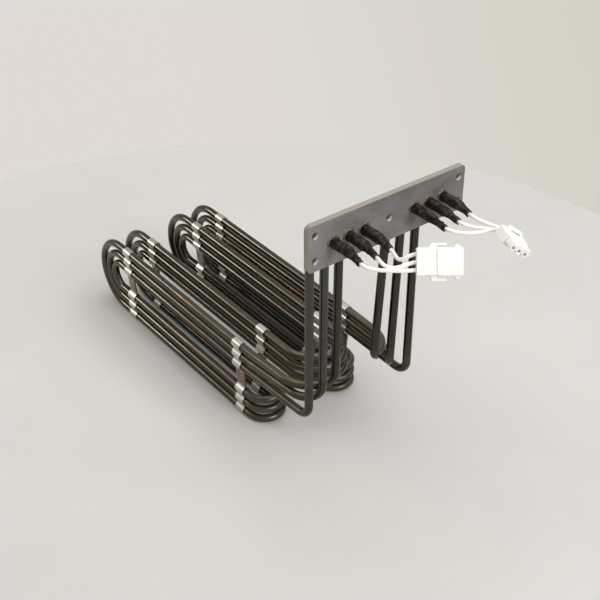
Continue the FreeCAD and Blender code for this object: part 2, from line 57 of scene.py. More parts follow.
# Places that the CAD gives, in metres
PLATE_LOW, PLATE_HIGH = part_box("flange_plate")
COIL_LOW, COIL_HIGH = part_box("sheath_outer")
BRAZE_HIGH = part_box("braze_ring_1")[1]
FLOOR_Z = COIL_LOW.z

LEGS = range(1, 7)
COLUMNS = "abcd"
# Legs along the plate: the innermost one on each side of the middle, and the step to the next
LEG_INNER_Y = 0.0274
LEG_PITCH = 0.016
# Screw holes of the plate: the four in its corners, and one in its middle
HOLE_Y = 0.0776
HOLE_Z = 0.01175
HOLE_R = 0.0033
# The elbow of each terminal, beyond the end of its tube
ELBOW_X = 0.0278


def leg_y(leg):
    """Place of a leg along the plate."""
    if leg <= 3:
        return -(LEG_INNER_Y + (3 - leg) * LEG_PITCH)
    return LEG_INNER_Y + (leg - 4) * LEG_PITCH


def contact_name(leg):
    """Node of the contact at the end of a leg's lead: pins in the first plug, sockets in the second."""
    return ("pin_contact_%d" if leg <= 3 else "socket_contact_%d") % leg


# How far each terminal hangs down, in degrees, and how far its sleeve reaches beyond the elbow
DROOP = {1: 17.0, 2: 16.0, 3: 16.5, 4: 8.0, 5: 9.0, 6: 13.0}
SLEEVE_REACH = {1: 0.0124, 2: 0.0130, 3: 0.0114, 4: 0.0163, 5: 0.0148, 6: 0.0112}

# Routes of the lead wires, the same points as in the part's source, each from its splice to its contact
ROUTES = {
    1: [(0.03602, -0.0594, -0.00251), (0.04109, -0.0594, -0.00406), (0.0464, -0.0578, -0.0049),
        (0.0508, -0.0536, -0.0056), (0.0548, -0.0476, -0.0066), (0.0584, -0.0404, -0.0080),
        (0.0618, -0.0324, -0.0096), (0.06466, -0.02511, -0.0102), (0.06742, -0.02155, -0.0102)],
    2: [(0.03607, -0.0434, -0.00237), (0.04174, -0.0434, -0.0040), (0.0474, -0.0432, -0.0066),
        (0.0522, -0.0406, -0.0086), (0.0562, -0.0350, -0.0084), (0.0592, -0.0288, -0.0066),
        (0.06178, -0.02289, -0.0050), (0.06453, -0.01933, -0.0050)],
    3: [(0.03605, -0.0274, -0.00244), (0.04017, -0.0274, -0.00366), (0.0443, -0.0279, -0.0052),
        (0.0484, -0.0289, -0.0066), (0.0524, -0.0283, -0.0056), (0.0554, -0.0259, -0.0028),
        (0.0589, -0.02066, 0.0002), (0.06165, -0.0171, 0.0002)],
    4: [(0.03632, 0.0274, -0.0012), (0.04543, 0.0274, -0.00248), (0.0534, 0.0318, -0.0030),
        (0.0596, 0.0388, -0.0034), (0.0634, 0.0474, -0.0036), (0.0662, 0.0552, -0.0036),
        (0.0700, 0.0600, -0.0026), (0.07553, 0.0600, -0.00047), (0.07954, 0.05796, -0.00047)],
    5: [(0.03629, 0.0434, -0.00135), (0.0439, 0.0434, -0.00255), (0.0504, 0.0468, -0.0038),
        (0.0564, 0.0524, -0.0050), (0.0616, 0.0590, -0.0058), (0.0670, 0.0642, -0.0060),
        (0.0724, 0.0666, -0.0054), (0.07786, 0.06458, -0.0042), (0.08187, 0.06254, -0.0042)],
    6: [(0.03618, 0.0594, -0.00193), (0.04017, 0.0594, -0.00286), (0.0460, 0.0604, -0.0040),
        (0.0526, 0.0638, -0.0058), (0.0594, 0.0682, -0.0074), (0.0664, 0.0714, -0.0086),
        (0.0734, 0.0720, -0.0086), (0.0802, 0.06916, -0.00793), (0.08421, 0.06712, -0.00793)],
}


# Node trees

class Tree:
    """One node tree, with short calls for the nodes that the finishes use."""

    def __init__(self, tree):
        self.tree = tree

    def feed(self, socket, value):
        """Links a socket to another, or sets it to a plain value; a colour comes without its alpha."""
        if isinstance(value, bpy.types.NodeSocket):
            self.tree.links.new(value, socket)
        elif socket.type == "RGBA":
            socket.default_value = (*value, 1.0)
        else:
            socket.default_value = value

    def add(self, kind, given=None, **settings):
        """A new node with its settings, and its inputs fed by their names or numbers."""
        node = self.tree.nodes.new(kind)
        for name, value in settings.items():
            setattr(node, name, value)
        for label, value in (given or {}).items():
            self.feed(node.inputs[label], value)
        return node

    def math(self, operation, *values):
        """One step of arithmetic on one, two or three values."""
        return self.add("ShaderNodeMath", dict(enumerate(values)), operation=operation).outputs[0]

    def plus(self, a, b):
        return self.math("ADD", a, b)

    def minus(self, a, b):
        return self.math("SUBTRACT", a, b)

    def larger(self, a, b):
        return self.math("MAXIMUM", a, b)

    def flip(self, mask):
        """A mask turned round: 1 where it is 0."""
        return self.minus(1.0, mask)

    def times(self, first, *others):
        """Product of all the values."""
        for other in others:
            first = self.math("MULTIPLY", first, other)
        return first

    def length(self, a, b):
        """Length of a line that goes a one way and b square to it."""
        return self.math("SQRT", self.plus(self.times(a, a), self.times(b, b)))

    def ramp(self, value, low, high, to=(0.0, 1.0)):
        """Smoothly from the first to the second number of to, while value goes from low to high."""
        given = {"Value": value, "From Min": low, "From Max": high, "To Min": to[0], "To Max": to[1]}
        return self.add("ShaderNodeMapRange", given, interpolation_type="SMOOTHSTEP").outputs["Result"]

    def vector(self, operation, a, b):
        """One step of arithmetic on two vectors."""
        return self.add("ShaderNodeVectorMath", {0: a, 1: b}, operation=operation).outputs

    def split(self, vector):
        """The x, y and z of a vector."""
        return self.add("ShaderNodeSeparateXYZ", {0: vector}).outputs

    def scaled(self, vector, scale):
        """A vector scaled along each of its axes."""
        return self.add("ShaderNodeMapping", {"Vector": vector, "Scale": scale}).outputs[0]

    def noise(self, vector, scale, detail=4.0, roughness=0.55):
        """Uneven values, most of them near 0.5."""
        given = {"Vector": vector, "Scale": scale, "Detail": detail, "Roughness": roughness}
        return self.add("ShaderNodeTexNoise", given).outputs["Fac"]

    def mix(self, factor, a, b):
        """Colour a where factor is 0, b where it is 1; the node's colour sockets are 6, 7 and 2."""
        return self.add("ShaderNodeMix", {"Factor": factor, 6: a, 7: b}, data_type="RGBA").outputs[2]

    def use(self, name, **given):
        """Places one of the node groups and sets its inputs."""
        return self.add("ShaderNodeGroup", given, node_tree=group(name)).outputs

    def patches(self, vector, **given):
        """Mask of soft uneven patches."""
        return self.use("patches", Vector=vector, **given)["Mask"]

    def window(self, value, low, high, feather):
        """Mask of the places where a value lies between low and high."""
        return self.use("window", Value=value, Low=low, High=high, Feather=feather)["Mask"]

    def lines(self, vector, stretch):
        """Fine lines left by drawing or rolling."""
        return self.use("drawn", Vector=vector, Stretch=stretch)["Lines"]


SOCKETS = {"value": "NodeSocketFloat", "vector": "NodeSocketVector", "colour": "NodeSocketColor"}


def new_group(name, inputs, outputs):
    """A node group with named sockets: inputs are (name, kind, default), outputs (name, kind)."""
    tree = bpy.data.node_groups.new(name, "ShaderNodeTree")
    for label, kind, default in inputs:
        socket = tree.interface.new_socket(label, in_out="INPUT", socket_type=SOCKETS[kind])
        if default is not None:
            socket.default_value = (*default, 1.0) if kind == "colour" else default
    for label, kind in outputs:
        tree.interface.new_socket(label, in_out="OUTPUT", socket_type=SOCKETS[kind])
    graph = Tree(tree)
    return graph, graph.add("NodeGroupInput").outputs, graph.add("NodeGroupOutput").inputs


def patches_group():
    """Soft uneven patches: 0 and 1 with a feathered edge between."""
    graph, given, out = new_group(
        "Patches",
        [("Vector", "vector", None), ("Scale", "value", 50.0), ("Detail", "value", 4.0),
         ("Amount", "value", 0.5), ("Feather", "value", 0.1)],
        [("Mask", "value")],
    )
    cloud = graph.noise(given["Vector"], given["Scale"], given["Detail"], roughness=0.6)
    middle = graph.flip(given["Amount"])
    low = graph.minus(middle, given["Feather"])
    high = graph.plus(middle, given["Feather"])
    graph.feed(out["Mask"], graph.ramp(cloud, low, high))
    return graph.tree


def window_group():
    """1 where a value lies between Low and High, with feathered ends."""
    graph, given, out = new_group(
        "Window",
        [("Value", "value", 0.0), ("Low", "value", -1.0), ("High", "value", 1.0), ("Feather", "value", 0.01)],
        [("Mask", "value")],
    )
    rise = graph.ramp(given["Value"], given["Low"], graph.plus(given["Low"], given["Feather"]))
    last = graph.minus(given["High"], given["Feather"])
    fall = graph.ramp(given["Value"], last, given["High"], to=(1.0, 0.0))
    graph.feed(out["Mask"], graph.times(rise, fall))
    return graph.tree


def rust_group():
    """Rust and heat stains: how strong, in what colour, and how high, where Place lets them be."""
    graph, given, out = new_group(
        "Rust",
        [("Vector", "vector", None), ("Scale", "value", 400.0), ("Amount", "value", 0.5),
         ("Place", "value", 1.0), ("Dark", "colour", (0.09, 0.035, 0.015)),
         ("Bright", "colour", (0.50, 0.19, 0.06))],
        [("Mask", "value"), ("Colour", "colour"), ("Height", "value")],
    )
    feather = 0.05
    spots = graph.noise(given["Vector"], given["Scale"], detail=6.0, roughness=0.65)
    level = graph.flip(graph.times(given["Amount"], given["Place"]))
    mask = graph.ramp(spots, graph.minus(level, feather), graph.plus(level, feather))
    tone = graph.noise(given["Vector"], graph.times(given["Scale"], 0.35), detail=3.0)
    graph.feed(out["Mask"], graph.times(mask, graph.ramp(given["Place"], 0.0, 0.15)))
    graph.feed(out["Colour"], graph.mix(graph.ramp(tone, 0.35, 0.65), given["Dark"], given["Bright"]))
    graph.feed(out["Height"], graph.times(mask, spots))
    return graph.tree


def drawn_group():
    """Fine lines left by drawing or rolling, along the axis with the smallest number in Stretch."""
    graph, given, out = new_group(
        "Drawn Lines",
        [("Vector", "vector", None), ("Stretch", "vector", (40.0, 1500.0, 1500.0))],
        [("Lines", "value")],
    )
    stretched = graph.vector("MULTIPLY", given["Vector"], given["Stretch"])["Vector"]
    graph.feed(out["Lines"], graph.noise(stretched, 1.0, detail=3.0, roughness=0.6))
    return graph.tree


def weave_group():
    """Weave on a piece's own map, with Around and Along threads to one unit of it."""
    graph, given, out = new_group(
        "Weave",
        [("Map", "vector", None), ("Around", "value", 30.0), ("Along", "value", 30.0)],
        [("Height", "value")],
    )
    u, v, _ = graph.split(given["Map"])
    a = graph.times(u, graph.times(given["Around"], math.tau))
    b = graph.times(v, graph.times(given["Along"], math.tau))
    one = graph.math("SINE", graph.plus(a, b))
    two = graph.math("SINE", graph.minus(a, b))
    graph.feed(out["Height"], graph.larger(one, two))
    return graph.tree


GROUP_MAKERS = {"patches": patches_group, "window": window_group, "rust": rust_group,
                "drawn": drawn_group, "weave": weave_group}
GROUPS_MADE = {}


def group(name):
    """A node group by name, made the first time it is asked for."""
    if name not in GROUPS_MADE:
        GROUPS_MADE[name] = GROUP_MAKERS[name]()
    return GROUPS_MADE[name]


def new_finish(name, **constants):
    """A material with one shader that holds the constants, and the object's own coordinates."""
    material = bpy.data.materials.new(name)
    material.use_nodes = True
    material.node_tree.nodes.clear()
    graph = Tree(material.node_tree)
    given = {label.replace("_", " "): value for label, value in constants.items()}
    shader = graph.add("ShaderNodeBsdfPrincipled", given)
    graph.add("ShaderNodeOutputMaterial", {"Surface": shader.outputs["BSDF"]})
    return material, graph, shader, graph.add("ShaderNodeTexCoord").outputs


def paint(graph, shader, colour, rough, height, depth, strength):
    """Feeds a shader its colour, its roughness, and the normal of a relief with a depth in metres."""
    graph.feed(shader.inputs["Base Color"], colour)
    graph.feed(shader.inputs["Roughness"], rough)
    relief = graph.add("ShaderNodeBump", {"Strength": strength, "Distance": depth, "Height": height})
    graph.feed(shader.inputs["Normal"], relief.outputs["Normal"])


def dress(names, material):
    """Gives CAD nodes their finish."""
    for name in names:
        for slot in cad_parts[name].material_slots:
            slot.material = material


def dress_legs(name, material):
    """Gives all six pieces of one kind their finish, by a name that holds the leg's number."""
    dress([name % leg for leg in LEGS], material)


# Settings that a user would change

class TubeSettings(bpy.types.PropertyGroup):
    """Oxides and heat tints of the tubes"""
    row_colour: FloatVectorProperty(
        name="Rows", description="Oxide on the straight rows",
        subtype="COLOR", default=(0.104, 0.096, 0.072))
    leg_colour: FloatVectorProperty(
        name="Legs", description="Oxide on the legs",
        subtype="COLOR", default=(0.054, 0.0495, 0.041))
    bend_colour: FloatVectorProperty(
        name="Bends", description="Heat tint at the bends",
        subtype="COLOR", default=(0.112, 0.093, 0.066))
    tint_colour: FloatVectorProperty(
        name="Tint", description="Reddish heat streaks",
        subtype="COLOR", default=(0.30, 0.15, 0.085))


class PlateSettings(bpy.types.PropertyGroup):
    """Steel of the flange plate"""
    light_colour: FloatVectorProperty(
        name="Light", description="Lighter patches of the plate",
        subtype="COLOR", default=(0.246, 0.235, 0.225))
    dark_colour: FloatVectorProperty(
        name="Dark", description="Darker patches of the plate",
        subtype="COLOR", default=(0.138, 0.131, 0.130))
    edge_colour: FloatVectorProperty(
        name="Edge", description="Cut edges of the plate",
        subtype="COLOR", default=(0.31, 0.28, 0.235))


class ClipSettings(bpy.types.PropertyGroup):
    """Strip of the clips"""
    colour: FloatVectorProperty(
        name="Strip", description="Bright strip of the clips",
        subtype="COLOR", default=(0.57, 0.55, 0.51))


class SleeveSettings(bpy.types.PropertyGroup):
    """Shape and colour of the sleeves"""
    radius: FloatProperty(
        name="Radius", description="Outer radius of the wide part", default=0.0049, unit="LENGTH")
    snug_radius: FloatProperty(
        name="Snug radius", description="Outer radius where it lies close on the tube",
        default=0.0046, unit="LENGTH")
    neck_radius: FloatProperty(
        name="Neck radius", description="Outer radius at the lead", default=0.0029, unit="LENGTH")
    wall: FloatProperty(
        name="Wall", description="Thickness of the sleeve", default=0.0004, unit="LENGTH")
    wrinkle: FloatProperty(
        name="Wrinkle", description="Height of the wrinkles", default=0.00046, unit="LENGTH")
    fray: FloatProperty(
        name="Fray", description="How ragged the open end is", default=0.0013, unit="LENGTH")
    around: IntProperty(
        name="Around", description="Points round the sleeve", default=48)
    colour: FloatVectorProperty(
        name="Colour", description="Sleeve",
        subtype="COLOR", default=(0.0085, 0.0076, 0.0068))


class LeadSettings(bpy.types.PropertyGroup):
    """Size and colour of the lead wires"""
    diameter: FloatProperty(
        name="Diameter", description="Diameter of a lead wire", default=0.0032, unit="LENGTH")
    colour: FloatVectorProperty(
        name="Colour", description="Insulation of the leads",
        subtype="COLOR", default=(0.95, 0.93, 0.87))


class PlugSettings(bpy.types.PropertyGroup):
    """Nylon of the plugs"""
    colour: FloatVectorProperty(
        name="Colour", description="Moulded housings",
        subtype="COLOR", default=(0.97, 0.965, 0.93))


class StageSettings(bpy.types.PropertyGroup):
    """Table, room and camera"""
    table_radius: FloatProperty(
        name="Table radius", description="Radius of the round table", default=0.584, unit="LENGTH")
    table_x: FloatProperty(
        name="Table X", description="Middle of the table along X", default=-0.122, unit="LENGTH")
    table_y: FloatProperty(
        name="Table Y", description="Middle of the table along Y", default=-0.069, unit="LENGTH")
    table_colour: FloatVectorProperty(
        name="Table", description="Table top",
        subtype="COLOR", default=(0.592, 0.585, 0.564))
    wall_colour: FloatVectorProperty(
        name="Wall", description="Wall behind the table",
        subtype="COLOR", default=(0.74, 0.70, 0.672))
    wall_shade: FloatVectorProperty(
        name="Wall shade", description="Darker end of the wall",
        subtype="COLOR", default=(0.65, 0.63, 0.56))
    room_colour: FloatVectorProperty(
        name="Room", description="Light of the room",
        subtype="COLOR", default=(1.0, 0.975, 0.95))
    room_light: FloatProperty(
        name="Room light", description="Strength of the room's light", default=0.46)
    focal_length: FloatProperty(
        name="Lens", description="Focal length of the camera in mm", default=71.58, unit="CAMERA")


# Finish of the tubes

# Where one look of the tubes gives way to another, each from its first place to its second
LEG_FEET_Z = (COIL_HIGH.z - 0.180, COIL_HIGH.z - 0.166)
BACK_BENDS_X = (COIL_LOW.x + 0.052, COIL_LOW.x + 0.03)
FRONT_BENDS_X = (-0.132, -0.108)
FRONT_NOSE_X = (-0.085, -0.055)
WORN_ROWS_X = (-0.30, -0.17)
FAR_ROWS_Y = (-0.05, -0.02)
SECOND_LEG_Y = (-0.0494, -0.0374)
OUTER_LEG_Y = (-0.0504, -0.0524)
# Where the painted shade low down among the inner columns starts, and where it is full: in height, then
# across
DEEP_Z = (-0.218, -0.232)
DEEP_Y = (-0.048, -0.042)
# How far a surface looks up where the painted shade of the flanks starts, and where it is full
FLANK_UP = (0.66, 0.12)

# Scales of the fine lines and of the reddish streaks along each axis
LINES_ALONG_ROWS = (25.0, 900.0, 900.0)
LINES_ALONG_LEGS = (900.0, 900.0, 25.0)
STREAK_SCALE = (3.0, 130.0, 130.0)

# Colours beside those in the settings
SECOND_LEG_GREY = (0.086, 0.087, 0.088)
OUTER_LEG_OLIVE = (0.098, 0.090, 0.072)
OXIDE_PATCH = (0.05, 0.046, 0.038)
OXIDE_LINE = (0.2, 0.18, 0.14)
# Painted shade: on the flanks between the rows, then low down among the inner columns
FLANK_PAINTED_SHADE = (0.014, 0.0122, 0.0096)
DEEP_PAINTED_SHADE = (0.02, 0.018, 0.015)


def tube_masks(graph, x, y, z):
    """Masks of the legs, the front bends, all bends, and the rows on the far side."""
    legs = graph.ramp(z, *LEG_FEET_Z)
    front = graph.times(graph.ramp(x, *FRONT_BENDS_X), graph.flip(legs),
                        graph.ramp(x, *FRONT_NOSE_X, to=(1.0, 0.5)))
    bends = graph.larger(graph.ramp(x, *BACK_BENDS_X), front)
    far = graph.times(graph.ramp(y, *FAR_ROWS_Y), graph.flip(bends))
    return legs, front, bends, far


def tube_oxide(graph, settings, place, y, legs, bends):
    """Colour of the oxide: streaked rows, legs that differ from one another, and tinted bends."""
    stretched = graph.scaled(place, STREAK_SCALE)
    streaks = graph.patches(stretched, Scale=1.0, Detail=2.0, Amount=0.37, Feather=0.04)
    rows = graph.mix(graph.times(streaks, 0.5), settings.row_colour, settings.tint_colour)
    second = graph.window(y, *SECOND_LEG_Y, feather=0.001)
    leg_oxide = graph.mix(graph.times(second, 0.8), settings.leg_colour, SECOND_LEG_GREY)
    leg_oxide = graph.mix(graph.ramp(y, *OUTER_LEG_Y, to=(0.0, 0.6)), leg_oxide, OUTER_LEG_OLIVE)
    colour = graph.mix(legs, rows, leg_oxide)
    return graph.mix(graph.times(bends, 0.8), colour, settings.bend_colour)


def sheath_finish(settings):
    """Oxidised heater tube: grey-brown legs, olive rows, browner bends, reddish streaks along some rows, and
    painted shade between the rows.
    """
    material, graph, shader, coords = new_finish("Oxidised sheath", Metallic=0.95)
    place = coords["Object"]
    x, y, z = graph.split(place)
    legs, front, bends, far = tube_masks(graph, x, y, z)
    lines = graph.plus(graph.times(graph.lines(place, LINES_ALONG_ROWS), graph.flip(legs)),
                       graph.times(graph.lines(place, LINES_ALONG_LEGS), legs))
    patches = graph.patches(place, Scale=70.0, Detail=5.0, Amount=0.5, Feather=0.2)
    colour = tube_oxide(graph, settings, place, y, legs, bends)
    colour = graph.mix(graph.times(patches, 0.35), colour, OXIDE_PATCH)
    colour = graph.mix(graph.ramp(lines, 0.55, 0.8, to=(0.0, 0.25)), colour, OXIDE_LINE)
    # Painted shade between the rows: on their flanks, more so on the far side, and low down among the inner
    # columns
    flank_shade = graph.ramp(graph.split(coords["Normal"])[2], *FLANK_UP)
    flank_shade = graph.times(flank_shade, graph.flip(graph.larger(bends, legs)),
                        graph.ramp(far, 0.0, 1.0, to=(0.7, 0.84)))
    colour = graph.mix(flank_shade, colour, FLANK_PAINTED_SHADE)
    deep_shade = graph.times(graph.ramp(z, *DEEP_Z), graph.ramp(y, *DEEP_Y), graph.flip(front))
    colour = graph.mix(graph.times(deep_shade, 0.6), colour, DEEP_PAINTED_SHADE)
    rough = graph.ramp(graph.plus(lines, graph.times(patches, 0.3)), 0.3, 1.0, to=(0.15, 0.26))
    worn = graph.times(graph.ramp(x, *WORN_ROWS_X), graph.flip(legs),
                       graph.ramp(far, 0.0, 1.0, to=(0.17, 0.11)))
    rough = graph.plus(graph.minus(rough, graph.times(far, 0.03)), worn)
    paint(graph, shader, colour, rough, height=lines, depth=0.00004, strength=0.12)
    return material


# Finish of the plate

# How far in from the edges the cut rim and the rusty corners reach
RIM = (0.0006, 0.0002)
CORNER = (0.012, 0.0)
# Painted light on the left end of the face: it rises between these two places along Y
PAINTED_LIGHT_END_Y = (-0.02, -0.08)
CLOUD_SCALE = (1.0, 1.0, 1.6)
# The burnt ring round a tube fades out between these radii, and a noise moves it in and out
RING_R = (0.0066, 0.0086)
RING_WANDER = 0.003
# The wall of a hole, just outside its radius; painted light falls on what of it looks this way and lies near
# the front, and painted shade on the rest
BORE_R = (HOLE_R + 0.0002, HOLE_R + 0.00005)
BORE_X = (PLATE_LOW.x + 0.0015, PLATE_HIGH.x - 0.001)
PAINTED_LIGHT_FROM = (0.0, -0.707, 0.707)

PLATE_STAIN = (0.17, 0.15, 0.145)
# Painted light on the left end of the face
PLATE_PAINTED_LIGHT = (0.34, 0.32, 0.305)
PLATE_GRAIN = (0.33, 0.32, 0.31)
PLATE_RUST = (0.45, 0.22, 0.10)
RING_DARK, RING_LIGHT = (0.08, 0.062, 0.05), (0.24, 0.185, 0.14)
# Painted shade and painted light on the walls of the holes
BORE_PAINTED_SHADE, BORE_PAINTED_LIGHT = (0.05, 0.045, 0.04), (0.85, 0.83, 0.78)


def near_edges(graph, wide, high, far, near):
    """How close a place is to the plate's ends and to its long edges: 0 at far from them, 1 at near."""
    return (graph.ramp(wide, PLATE_HIGH.y - far, PLATE_HIGH.y - near),
            graph.ramp(high, PLATE_HIGH.z - far, PLATE_HIGH.z - near))


def plate_face(graph, settings, place, y, clouds, fine):
    """Colour of the rolled face: clouds, stains, painted light that makes the left end paler, and a fine
    grain.
    """
    stains = graph.patches(place, Scale=75.0, Detail=6.0, Amount=0.44, Feather=0.1)
    face = graph.mix(clouds, settings.dark_colour, settings.light_colour)
    face = graph.mix(graph.times(stains, 0.45), face, PLATE_STAIN)
    # Painted light on the left end
    face = graph.mix(graph.ramp(y, *PAINTED_LIGHT_END_Y, to=(0.0, 0.42)), face, PLATE_PAINTED_LIGHT)
    return graph.mix(graph.ramp(fine, 0.5, 0.75, to=(0.0, 0.3)), face, PLATE_GRAIN)


def burnt_rings(graph, place, wide, z):
    """Mask of the burnt rings round the six tubes."""
    nearest = graph.math("WRAP", graph.minus(wide, LEG_INNER_Y), LEG_PITCH / 2, -LEG_PITCH / 2)
    wander = graph.times(graph.minus(graph.noise(place, 260.0), 0.5), RING_WANDER)
    rings = graph.ramp(graph.plus(graph.length(nearest, z), wander), *RING_R, to=(1.0, 0.0))
    at_legs = graph.window(wide, LEG_INNER_Y - LEG_PITCH / 2, LEG_INNER_Y + 2.5 * LEG_PITCH, feather=0.001)
    return graph.times(rings, at_legs)


def hole_walls(graph, normal, place, wide, high):
    """Mask of the walls of the five holes, and their painted light and shade: bright where they look up
    towards -Y near the front, dark elsewhere.
    """
    x, y, z = graph.split(place)
    from_corner = graph.length(graph.minus(wide, HOLE_Y), graph.minus(high, HOLE_Z))
    bore = graph.ramp(graph.math("MINIMUM", from_corner, graph.length(y, z)), *BORE_R)
    facing = graph.vector("DOT_PRODUCT", normal, PAINTED_LIGHT_FROM)["Value"]
    painted_lit = graph.times(graph.ramp(facing, 0.25, 0.8), graph.ramp(x, *BORE_X))
    return bore, graph.mix(painted_lit, BORE_PAINTED_SHADE, BORE_PAINTED_LIGHT)


def plate_finish(settings):
    """Rolled steel: clouded grey faces with painted light on the left end, paler cut edges, rust at the
    corners, brown rings at the tubes, and painted light and shade in the holes.
    """
    material, graph, shader, coords = new_finish("Flange steel", Specular_IOR_Level=0.5)
    place = coords["Object"]
    _, y, z = graph.split(place)
    wide, high = graph.math("ABSOLUTE", y), graph.math("ABSOLUTE", z)
    lying = graph.scaled(place, CLOUD_SCALE)
    clouds = graph.patches(lying, Scale=38.0, Detail=5.0, Amount=0.5, Feather=0.22)
    fine = graph.noise(place, 900.0, roughness=0.6)
    face = plate_face(graph, settings, place, y, clouds, fine)
    rim = graph.larger(*near_edges(graph, wide, high, *RIM))
    colour = graph.mix(rim, face, settings.edge_colour)
    corner = graph.larger(graph.times(*near_edges(graph, wide, high, *CORNER)), graph.times(rim, 0.75))
    rust = graph.use("rust", Vector=place, Scale=420.0, Amount=0.5, Place=corner, Bright=PLATE_RUST)
    colour = graph.mix(graph.times(rust["Mask"], 0.7), colour, rust["Colour"])
    rings = burnt_rings(graph, place, wide, z)
    brown = graph.mix(graph.ramp(graph.noise(place, 340.0), 0.4, 0.6), RING_DARK, RING_LIGHT)
    colour = graph.mix(graph.times(rings, 0.5), colour, brown)
    # Painted light and shade on the walls of the holes
    bore, bore_light_and_shade = hole_walls(graph, coords["Normal"], place, wide, high)
    colour = graph.mix(bore, colour, bore_light_and_shade)
    bare = graph.times(graph.flip(rust["Mask"]), graph.flip(rings), graph.flip(bore))
    graph.feed(shader.inputs["Metallic"], graph.times(bare, 0.35))
    paint(graph, shader, colour, graph.ramp(clouds, 0.0, 1.0, to=(0.48, 0.6)),
          height=graph.plus(fine, rust["Height"]), depth=0.00006, strength=0.4)
    return material


# Finishes of the other pieces

BRAZE_DARK, BRAZE_LIGHT, BRAZE_EMBER = (0.05, 0.038, 0.03), (0.25, 0.185, 0.13), (0.42, 0.20, 0.09)
CLIP_DULL, CLIP_STRAP = (0.50, 0.46, 0.40), (0.17, 0.145, 0.12)
# The clips' straps, in the gap between the upper and the lower rows
STRAP_Z = (-0.236, -0.213)
LINES_ON_CLIPS = (900.0, 40.0, 40.0)
# Greyer patches of the sleeves: partly rubbed wear, partly painted sheen
SLEEVE_RUBBED_AND_SHEEN = (0.074, 0.067, 0.061)
LEAD_SOIL = (0.62, 0.56, 0.45)
NYLON_YELLOWED = (0.86, 0.80, 0.68)
SEAL_LIGHT, SEAL_DARK = (0.70, 0.66, 0.58), (0.52, 0.46, 0.38)


def braze_finish():
    """Brown to orange fillet round a tube."""
    material, graph, shader, coords = new_finish("Heat stained brazing", Metallic=0.3)
    place = coords["Object"]
    tone = graph.noise(place, 330.0, roughness=0.6)
    colour = graph.mix(graph.ramp(tone, 0.35, 0.65), BRAZE_DARK, BRAZE_LIGHT)
    ember = graph.patches(place, Scale=420.0, Detail=3.0, Amount=0.36, Feather=0.06)
    on_top = graph.ramp(graph.split(place)[2], 0.001, 0.005)
    colour = graph.mix(graph.times(ember, on_top, 0.75), colour, BRAZE_EMBER)
    paint(graph, shader, colour, graph.ramp(tone, 0.3, 0.7, to=(0.45, 0.7)),
          height=graph.noise(place, 1400.0), depth=0.00015, strength=0.6)
    return material


def clip_finish(settings):
    """Bright strip, dulled in patches, with rust where it crosses the gap between the rows."""
    material, graph, shader, coords = new_finish("Bright strip", Metallic=1.0)
    place = coords["Object"]
    lines = graph.lines(place, LINES_ON_CLIPS)
    dull = graph.patches(place, Scale=90.0, Detail=3.0, Amount=0.42, Feather=0.15)
    strap = graph.window(graph.split(place)[2], *STRAP_Z, feather=0.005)
    rust = graph.use("rust", Vector=place, Scale=300.0, Amount=0.47, Place=strap)
    colour = graph.mix(graph.times(dull, 0.3), settings.colour, CLIP_DULL)
    colour = graph.mix(graph.times(strap, 0.75), colour, CLIP_STRAP)
    colour = graph.mix(graph.times(rust["Mask"], 0.8), colour, rust["Colour"])
    rough = graph.plus(graph.ramp(lines, 0.3, 0.7, to=(0.30, 0.36)), graph.times(rust["Mask"], 0.3))
    paint(graph, shader, colour, rough,
          height=graph.plus(graph.times(lines, 0.15), rust["Height"]), depth=0.00003, strength=0.3)
    return material


def sleeve_finish(settings):
    """Matt black sleeving with a fine weave, greyer and glossier in random patches that are partly rubbed
    wear and partly painted sheen.
    """
    material, graph, shader, coords = new_finish("Black sleeving", Specular_IOR_Level=0.2)
    place = coords["Object"]
    weave = graph.use("weave", Map=coords["UV"], Around=40.0, Along=90.0)["Height"]
    rubbed_and_sheen = graph.patches(place, Scale=230.0, Detail=4.0, Amount=0.46, Feather=0.08)
    # Greyer patches: partly rubbed wear, partly painted sheen
    colour = graph.mix(graph.times(rubbed_and_sheen, 0.52), settings.colour, SLEEVE_RUBBED_AND_SHEEN)
    crumpled = graph.noise(place, 900.0, detail=5.0, roughness=0.65)
    paint(graph, shader, colour, graph.ramp(rubbed_and_sheen, 0.0, 1.0, to=(0.62, 0.36)),
          height=graph.plus(graph.times(weave, 0.3), crumpled), depth=0.00014, strength=0.55)
    return material


def lead_finish(settings):
    """White wire insulation, faintly soiled."""
    material, graph, shader, coords = new_finish("White lead", Specular_IOR_Level=0.4)
    place = coords["Object"]
    soil = graph.noise(place, 260.0, roughness=0.6)
    colour = graph.mix(graph.ramp(soil, 0.5, 0.8, to=(0.0, 0.5)), settings.colour, LEAD_SOIL)
    paint(graph, shader, colour, graph.ramp(soil, 0.3, 0.7, to=(0.42, 0.58)),
          height=graph.noise(place, 1600.0, detail=3.0), depth=0.00006, strength=0.5)
    return material


def housing_finish(settings):
    """White moulded nylon with the faintest yellowing."""
    material, graph, shader, coords = new_finish("White nylon", Specular_IOR_Level=0.5)
    place = coords["Object"]
    tone = graph.noise(place, 120.0, detail=3.0, roughness=0.5)
    colour = graph.mix(graph.ramp(tone, 0.45, 0.75, to=(0.0, 0.5)), settings.colour, NYLON_YELLOWED)
    paint(graph, shader, colour, graph.ramp(tone, 0.3, 0.7, to=(0.36, 0.46)),
          height=graph.noise(place, 1100.0, detail=3.0), depth=0.00003, strength=0.4)
    return material


